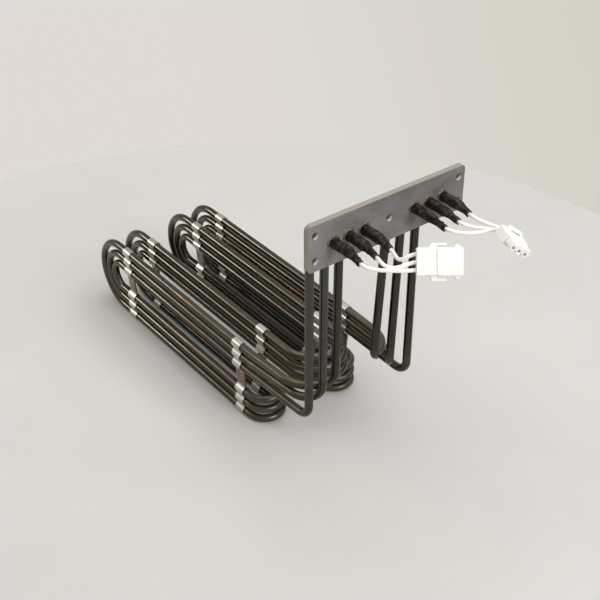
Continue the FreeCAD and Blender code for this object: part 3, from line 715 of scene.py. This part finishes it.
def metal_finish(name, bright, stain):
    """Small plain metal pieces: pins, splices and contacts, with tarnish."""
    material, graph, shader, coords = new_finish(name, Metallic=1.0)
    place = coords["Object"]
    tarnish = graph.patches(place, Scale=500.0, Amount=0.45, Feather=0.12)
    colour = graph.mix(graph.times(tarnish, 0.6), bright, stain)
    paint(graph, shader, colour, graph.ramp(tarnish, 0.0, 1.0, to=(0.28, 0.45)),
          height=graph.noise(place, 2500.0), depth=0.00002, strength=0.4)
    return material


def seal_finish():
    """Off-white sealing bead."""
    material, graph, shader, coords = new_finish("Sealing bead")
    tone = graph.noise(coords["Object"], 700.0)
    colour = graph.mix(graph.ramp(tone, 0.4, 0.7), SEAL_LIGHT, SEAL_DARK)
    paint(graph, shader, colour, graph.ramp(tone, 0.3, 0.7, to=(0.5, 0.7)),
          height=tone, depth=0.00008, strength=0.5)
    return material


# Sleeves

# Step between the rings of a sleeve, and half the length of its bend at the elbow
RING_STEP = 0.0006
ELBOW_SOFT = 0.004
# Lumps of the wrinkles to a metre of sleeve, and the share of each kind beside the fine ones
FINE_TO_METRE, BROAD_TO_METRE, CREASES_TO_METRE = 520.0, 140.0, 260.0
BROAD_SHARE, FOLD_SHARE, CREASE_SHARE = 0.8, 0.6, 0.9
CREASE_LEVEL = 0.25
# Folds at the elbow: the step from one to the next, where they stand highest, and how far they spread
FOLD_STEP = 0.0023
FOLD_AT = 0.001
FOLD_SPREAD = 0.0055
# From the brazing on, the wrinkles rise over the first length and the sleeve draws snug over the second
ROUND_LENGTH = 0.0012
SNUG_LENGTH = 0.008
# The taper from the tube to the lead: its start before the elbow, its length, and how hollow it is
TAPER_START = 0.0015
TAPER_LENGTH = 0.0085
TAPER_POWER = 1.35
# The frayed end: its length, and how far its rags stand out
FRAY_LENGTH = 0.0016
FRAY_OUT = 0.0003

# Small lumps that stand out of single sleeves: distance before the end, angle round, height, spread along
LUMPS = {1: [(0.0205, 80.0, 0.0006, 0.0012), (0.0150, 60.0, 0.0009, 0.0011), (0.0040, 20.0, 0.0008, 0.0010)],
         2: [(0.0180, 100.0, 0.0005, 0.0014)],
         3: [(0.0190, 70.0, 0.0004, 0.0012)],
         4: [(0.0165, 75.0, 0.0009, 0.0012), (0.0110, 95.0, 0.0006, 0.0010), (0.0060, 40.0, 0.0008, 0.0010)],
         5: [(0.0215, 80.0, 0.0006, 0.0012), (0.0060, -30.0, 0.0005, 0.0012)],
         6: [(0.0210, 80.0, 0.0005, 0.0013), (0.0120, -75.0, 0.0012, 0.0008)]}
# How far round a sleeve its lumps spread, in radians
LUMP_TURN = 0.35


def sleeve_path(leg):
    """A sleeve's elbow, length, and stations from the brazing to its end: distance, place, direction."""
    elbow_at = ELBOW_X - BRAZE_HIGH.x
    total = elbow_at + SLEEVE_REACH[leg]
    place = Vector((BRAZE_HIGH.x, leg_y(leg), 0.0))
    stations = []
    count = round(total / RING_STEP)
    for i in range(count + 1):
        s = total * i / count
        share = min(1.0, max(0.0, (s - elbow_at + ELBOW_SOFT) / (2 * ELBOW_SOFT)))
        angle = math.radians(DROOP[leg]) * share * share * (3 - 2 * share)
        along = Vector((math.cos(angle), 0.0, -math.sin(angle)))
        if i:
            place = place + along * (total / count)
        stations.append((s, place.copy(), along))
    return elbow_at, total, stations


def sleeve_radius(settings, s, elbow_at):
    """Plain outer radius along a sleeve: widest at the brazing, snug on the tube, then down to the neck."""
    snug = settings.radius + (settings.snug_radius - settings.radius) * min(1.0, s / SNUG_LENGTH)
    taper = min(1.0, max(0.0, (s - elbow_at + TAPER_START) / TAPER_LENGTH))
    return settings.neck_radius + (snug - settings.neck_radius) * (1.0 - taper) ** TAPER_POWER


def ring_matrix(settings, station, elbow_at):
    """Lays a circle of radius 1 across a sleeve at one of its stations."""
    s, place, along = station
    turn = Vector((0.0, 0.0, 1.0)).rotation_difference(along).to_matrix().to_4x4()
    return Matrix.Translation(place) @ turn @ Matrix.Scale(sleeve_radius(settings, s, elbow_at), 4)


def draw_out(bm, settings, stations, elbow_at):
    """Draws a circle out into a plain sleeve, and gives its rings of vertices."""
    before = ring_matrix(settings, stations[0], elbow_at)
    made = bmesh.ops.create_circle(bm, segments=settings.around, radius=1.0, matrix=before)
    rings = [made["verts"]]
    edges = list(bm.edges)
    for station in stations[1:]:
        after = ring_matrix(settings, station, elbow_at)
        drawn = bmesh.ops.extrude_edge_only(bm, edges=edges)["geom"]
        ring = [v for v in drawn if isinstance(v, bmesh.types.BMVert)]
        edges = [e for e in drawn if isinstance(e, bmesh.types.BMEdge)]
        bmesh.ops.transform(bm, matrix=after @ before.inverted(), verts=ring)
        rings.append(ring)
        before = after
    return rings


def crumple(leg, settings, s, angle, elbow_at, total):
    """How far a sleeve's surface stands out, at a distance along it and an angle round it."""
    cosine, sine = math.cos(angle), math.sin(angle)
    # Each leg has its own part of each noise
    fine = noise.noise(Vector((s * FINE_TO_METRE, 1.6 * cosine + 7.0 * leg, 1.6 * sine)))
    broad = noise.noise(Vector((s * BROAD_TO_METRE, cosine - 5.0 * leg, sine)))
    crease = Vector((s * CREASES_TO_METRE + 2.0 * angle, 2.2 * cosine + 3.0 * leg, s * 90.0))
    crease = CREASE_LEVEL - abs(noise.noise(crease))
    fold = math.sin((s - elbow_at) / FOLD_STEP * math.tau + 1.5 * sine)
    near = math.exp(-((s - elbow_at - FOLD_AT) / FOLD_SPREAD) ** 2)
    push = fine + BROAD_SHARE * broad + FOLD_SHARE * fold * near - CREASE_SHARE * crease
    push = settings.wrinkle * push
    for back, at, height, spread in LUMPS[leg]:
        turn = math.remainder(angle - math.radians(at), math.tau)
        push += height * math.exp(-((total - back - s) / spread) ** 2 - (turn / LUMP_TURN) ** 2)
    if s < ROUND_LENGTH:
        push *= s / ROUND_LENGTH
    return push


def frayed(leg, settings, s, angle, total):
    """How far a point at the frayed end is drawn along and out."""
    end = (s - total + FRAY_LENGTH) / FRAY_LENGTH
    ragged = noise.noise(Vector((3.1 * math.cos(angle), 3.1 * math.sin(angle), 11.0 * leg)))
    return settings.fray * ragged * end, FRAY_OUT * end * abs(ragged)


def lay_map(bm, layer, spots):
    """Fills a sleeve's own map from its vertices' spots, and keeps the faces across the seam whole."""
    for face in bm.faces:
        values = [spots[loop.vert] for loop in face.loops]
        wraps = max(u for u, _ in values) - min(u for u, _ in values) > 0.5
        for loop, (u, v) in zip(face.loops, values):
            loop[layer].uv = (u + 1.0 if wraps and u < 0.0 else u, v)


def make_sleeve(leg, settings):
    """One sleeve: a ring drawn out along its path, crumpled, frayed at its end and given its wall."""
    bm = bmesh.new()
    elbow_at, total, stations = sleeve_path(leg)
    rings = draw_out(bm, settings, stations, elbow_at)
    layer = bm.loops.layers.uv.new("Sleeve map")
    spots = {}
    for (s, place, along), ring in zip(stations, rings):
        up = Vector((0.0, 1.0, 0.0)).cross(along)
        for v in ring:
            out = (v.co - place).normalized()
            angle = math.atan2(out.y, -out.dot(up))
            spots[v] = (angle / math.tau, s / total)
            v.co += out * crumple(leg, settings, s, angle, elbow_at, total)
            if s > total - FRAY_LENGTH:
                drawn_along, drawn_out = frayed(leg, settings, s, angle, total)
                v.co += along * drawn_along + out * drawn_out
    lay_map(bm, layer, spots)
    bmesh.ops.recalc_face_normals(bm, faces=bm.faces)
    for face in bm.faces:
        face.smooth = True
    piece = new_piece("sleeve_skin_%d" % leg, bm)
    wall = piece.modifiers.new("Wall", "SOLIDIFY")
    wall.thickness = settings.wall
    wall.offset = -1.0
    soft = piece.modifiers.new("Soft", "SUBSURF")
    soft.levels = soft.render_levels = 1
    return piece


def new_piece(name, bm):
    """A mesh object at the origin from a bmesh."""
    mesh = bpy.data.meshes.new(name)
    bm.to_mesh(mesh)
    bm.free()
    piece = bpy.data.objects.new(name, mesh)
    bpy.context.scene.collection.objects.link(piece)
    return piece


def make_lead(leg, settings):
    """One lead wire: a round curve through the points of its route."""
    data = bpy.data.curves.new("lead_wire_%d" % leg, "CURVE")
    data.dimensions = "3D"
    data.bevel_depth = settings.diameter / 2
    data.bevel_resolution = 6
    data.use_fill_caps = True
    line = data.splines.new("NURBS")
    line.points.add(len(ROUTES[leg]) - 1)
    for point, place in zip(line.points, ROUTES[leg]):
        point.co = (*place, 1.0)
    line.order_u = 3
    line.use_endpoint_u = True
    line.resolution_u = 12
    piece = bpy.data.objects.new(data.name, data)
    bpy.context.scene.collection.objects.link(piece)
    return piece


# Operators

class HEATER_OT_sleeves(bpy.types.Operator):
    """Makes the six crumpled black sleeves over the terminals"""
    bl_idname = "heater.sleeves"
    bl_label = "Sleeves"

    def execute(self, context):
        settings = context.scene.heater_sleeves
        finish = sleeve_finish(settings)
        for leg in LEGS:
            piece = make_sleeve(leg, settings)
            piece.data.materials.append(finish)
            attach(piece, "root")
            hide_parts("sleeve_%d" % leg)
        return {"FINISHED"}


class HEATER_OT_leads(bpy.types.Operator):
    """Makes the six lead wires as smooth curves through their routes"""
    bl_idname = "heater.leads"
    bl_label = "Lead wires"

    def execute(self, context):
        settings = context.scene.heater_leads
        finish = lead_finish(settings)
        for leg in LEGS:
            piece = make_lead(leg, settings)
            piece.data.materials.append(finish)
            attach(piece, "root")
            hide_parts("lead_%d" % leg)
        return {"FINISHED"}


class HEATER_OT_tubes(bpy.types.Operator):
    """Gives the three bent tubes their oxide and heat tints"""
    bl_idname = "heater.tubes"
    bl_label = "Tubes"

    def execute(self, context):
        dress(["sheath_outer", "sheath_middle", "sheath_inner"], sheath_finish(context.scene.heater_tubes))
        return {"FINISHED"}


class HEATER_OT_plate(bpy.types.Operator):
    """Gives the flange plate and the brazed rings their finish"""
    bl_idname = "heater.plate"
    bl_label = "Flange plate"

    def execute(self, context):
        dress(["flange_plate"], plate_finish(context.scene.heater_plate))
        dress_legs("braze_ring_%d", braze_finish())
        return {"FINISHED"}


class HEATER_OT_clips(bpy.types.Operator):
    """Gives the strip clips their bright finish"""
    bl_idname = "heater.clips"
    bl_label = "Clips"

    def execute(self, context):
        names = ["clip_%s_%s" % (end, column) for end in ("back", "front") for column in COLUMNS]
        dress(names, clip_finish(context.scene.heater_clips))
        return {"FINISHED"}


class HEATER_OT_plugs(bpy.types.Operator):
    """Gives the two plugs and their contacts their finish"""
    bl_idname = "heater.plugs"
    bl_label = "Plugs"

    def execute(self, context):
        dress(["socket_housing", "plug_housing"], housing_finish(context.scene.heater_plugs))
        tinned = metal_finish("Tinned contact", bright=(0.70, 0.67, 0.62), stain=(0.36, 0.31, 0.25))
        dress([contact_name(leg) for leg in LEGS], tinned)
        return {"FINISHED"}


class HEATER_OT_terminals(bpy.types.Operator):
    """Gives the pieces inside the sleeves their finish"""
    bl_idname = "heater.terminals"
    bl_label = "Terminals"

    def execute(self, context):
        nickelled = metal_finish("Nickelled pin", bright=(0.62, 0.58, 0.52), stain=(0.3, 0.26, 0.2))
        tinned = metal_finish("Tinned splice", bright=(0.72, 0.71, 0.69), stain=(0.4, 0.38, 0.35))
        dress_legs("terminal_pin_%d", nickelled)
        dress_legs("splice_%d", tinned)
        dress_legs("end_seal_%d", seal_finish())
        return {"FINISHED"}


# Stage, lights and camera

TABLE_THICKNESS = 0.025
# How much darker the darker patches of the table are
TABLE_DARKER = 0.975
# The wall shades off along this line across the room, between these two places on it
WALL_ACROSS = (0.61, 0.79, 0.35)
WALL_FADE = (-0.25, 0.2)

WHITE, CREAM = (1.0, 1.0, 1.0), (1.0, 0.95, 0.86)
# Soft lights: name, place, what it faces, two sides, watts, colour and spread in degrees
LIGHTS = (
    ("overhead", (-0.2, 0.42, 1.5), (-0.15, 0.05, -0.2), (2.2, 2.2), 26.0, WHITE, 180.0),
    ("window", (-1.6, -0.95, 0.55), (-0.3, 0.0, -0.22), (0.55, 0.6), 7.2, CREAM, 180.0),
    ("front", (1.5, 0.2, 0.8), (0.0, 0.0, -0.05), (0.65, 0.65), 2.3, WHITE, 70.0),
)

# The camera: its place, and in degrees the way to it from the object, its height over that and its roll
CAMERA_PLACE = (0.62568, -0.57250, 0.50766)
CAMERA_AZIMUTH = 37.7238
CAMERA_ELEVATION = 35.0520
CAMERA_ROLL = -0.0985


def aim(back, roll=0.0):
    """A turn that looks against the back vector, level but for the roll."""
    back = back.normalized()
    level = Vector((0.0, 0.0, 1.0)).cross(back).normalized()
    rise = back.cross(level)
    right = level * math.cos(roll) + rise * math.sin(roll)
    turn = Matrix((right, back.cross(right), back)).transposed()
    return turn.to_4x4()


def table_finish(colour):
    """Plain matt table top, faintly clouded."""
    material, graph, shader, coords = new_finish("Table top", Roughness=0.62, Specular_IOR_Level=0.3)
    tone = graph.noise(coords["Object"], 9.0)
    darker = tuple(c * TABLE_DARKER for c in colour)
    graph.feed(shader.inputs["Base Color"], graph.mix(graph.ramp(tone, 0.35, 0.65), colour, darker))
    return material


def make_table(settings):
    """The round table, with its top under the lowest tubes."""
    bm = bmesh.new()
    middle = Matrix.Translation((settings.table_x, settings.table_y, FLOOR_Z))
    bmesh.ops.create_circle(bm, cap_ends=True, segments=256, radius=settings.table_radius, matrix=middle)
    rim = bmesh.ops.extrude_edge_only(bm, edges=list(bm.edges))["geom"]
    rim = [v for v in rim if isinstance(v, bmesh.types.BMVert)]
    bmesh.ops.translate(bm, verts=rim, vec=(0.0, 0.0, -TABLE_THICKNESS))
    bmesh.ops.recalc_face_normals(bm, faces=bm.faces)
    table = new_piece("table", bm)
    table.data.materials.append(table_finish(settings.table_colour))
    return table


def make_room(settings):
    """The room's even light, and a wall that only the camera sees."""
    world = bpy.data.worlds.new("Room")
    world.use_nodes = True
    world.node_tree.nodes.clear()
    graph = Tree(world.node_tree)
    room = graph.add("ShaderNodeBackground", {"Color": settings.room_colour, "Strength": settings.room_light})
    direction = graph.add("ShaderNodeTexCoord").outputs["Generated"]
    across = graph.vector("DOT_PRODUCT", direction, WALL_ACROSS)["Value"]
    shaded = graph.mix(graph.ramp(across, *WALL_FADE), settings.wall_colour, settings.wall_shade)
    wall = graph.add("ShaderNodeBackground", {"Color": shaded})
    ray = graph.add("ShaderNodeLightPath").outputs["Is Camera Ray"]
    seen = graph.add("ShaderNodeMixShader", {"Fac": ray, 1: room.outputs[0], 2: wall.outputs[0]})
    graph.add("ShaderNodeOutputWorld", {"Surface": seen.outputs[0]})
    return world


def add_light(scene, name, place, target, size, power, colour, spread):
    """One soft rectangular light that faces its target."""
    data = bpy.data.lights.new(name, "AREA")
    data.shape = "RECTANGLE"
    data.size, data.size_y = size
    data.energy = power
    data.color = colour
    data.spread = math.radians(spread)
    lamp = bpy.data.objects.new(name, data)
    lamp.matrix_world = Matrix.Translation(place) @ aim(Vector(place) - Vector(target))
    scene.collection.objects.link(lamp)


def make_camera(scene, settings):
    """The camera, above the object and to one side of its terminals."""
    data = bpy.data.cameras.new("view")
    data.sensor_width = 36.0
    data.lens = settings.focal_length
    data.clip_start = 0.01
    camera = bpy.data.objects.new("view", data)
    azimuth, elevation = math.radians(CAMERA_AZIMUTH), math.radians(CAMERA_ELEVATION)
    back = Vector((math.cos(azimuth) * math.cos(elevation), -math.sin(azimuth) * math.cos(elevation),
                   math.sin(elevation)))
    camera.matrix_world = Matrix.Translation(CAMERA_PLACE) @ aim(back, math.radians(CAMERA_ROLL))
    scene.collection.objects.link(camera)
    return camera


class HEATER_OT_stage(bpy.types.Operator):
    """Makes the round table, the room, the soft lights and the camera"""
    bl_idname = "heater.stage"
    bl_label = "Stage"

    def execute(self, context):
        scene = context.scene
        settings = scene.heater_stage
        make_table(settings)
        scene.world = make_room(settings)
        for light in LIGHTS:
            add_light(scene, *light)
        scene.camera = make_camera(scene, settings)
        scene.view_settings.view_transform = "Standard"
        return {"FINISHED"}


# Panel, registration and the run itself

class HEATER_PT_panel(bpy.types.Panel):
    """Lists the steps that dress the heating element"""
    bl_label = "Heating Element"
    bl_idname = "HEATER_PT_panel"
    bl_space_type = "VIEW_3D"
    bl_region_type = "UI"
    bl_category = "Heating Element"

    def draw(self, context):
        for operator in OPERATORS:
            self.layout.operator(operator.bl_idname)
        for name in SETTINGS:
            box = self.layout.box()
            settings = getattr(context.scene, name)
            for label in settings.bl_rna.properties.keys():
                if label not in ("rna_type", "name"):
                    box.prop(settings, label)


OPERATORS = (HEATER_OT_leads, HEATER_OT_sleeves, HEATER_OT_tubes, HEATER_OT_plate, HEATER_OT_clips,
             HEATER_OT_plugs, HEATER_OT_terminals, HEATER_OT_stage)
SETTINGS = {
    "heater_tubes": TubeSettings, "heater_plate": PlateSettings, "heater_clips": ClipSettings,
    "heater_sleeves": SleeveSettings, "heater_leads": LeadSettings, "heater_plugs": PlugSettings,
    "heater_stage": StageSettings,
}


def register():
    """Registers the settings, the operators and the panel."""
    for name, kind in SETTINGS.items():
        bpy.utils.register_class(kind)
        setattr(bpy.types.Scene, name, PointerProperty(type=kind))
    for kind in (*OPERATORS, HEATER_PT_panel):
        bpy.utils.register_class(kind)


def unregister():
    """Takes back all that register does."""
    for kind in (*OPERATORS, HEATER_PT_panel):
        bpy.utils.unregister_class(kind)
    for name, kind in SETTINGS.items():
        delattr(bpy.types.Scene, name)
        bpy.utils.unregister_class(kind)


def main():
    """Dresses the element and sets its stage."""
    register()
    bpy.ops.heater.leads()
    bpy.ops.heater.sleeves()
    bpy.ops.heater.tubes()
    bpy.ops.heater.plate()
    bpy.ops.heater.clips()
    bpy.ops.heater.plugs()
    bpy.ops.heater.terminals()
    bpy.ops.heater.stage()


if __name__ == "__main__":
    main()
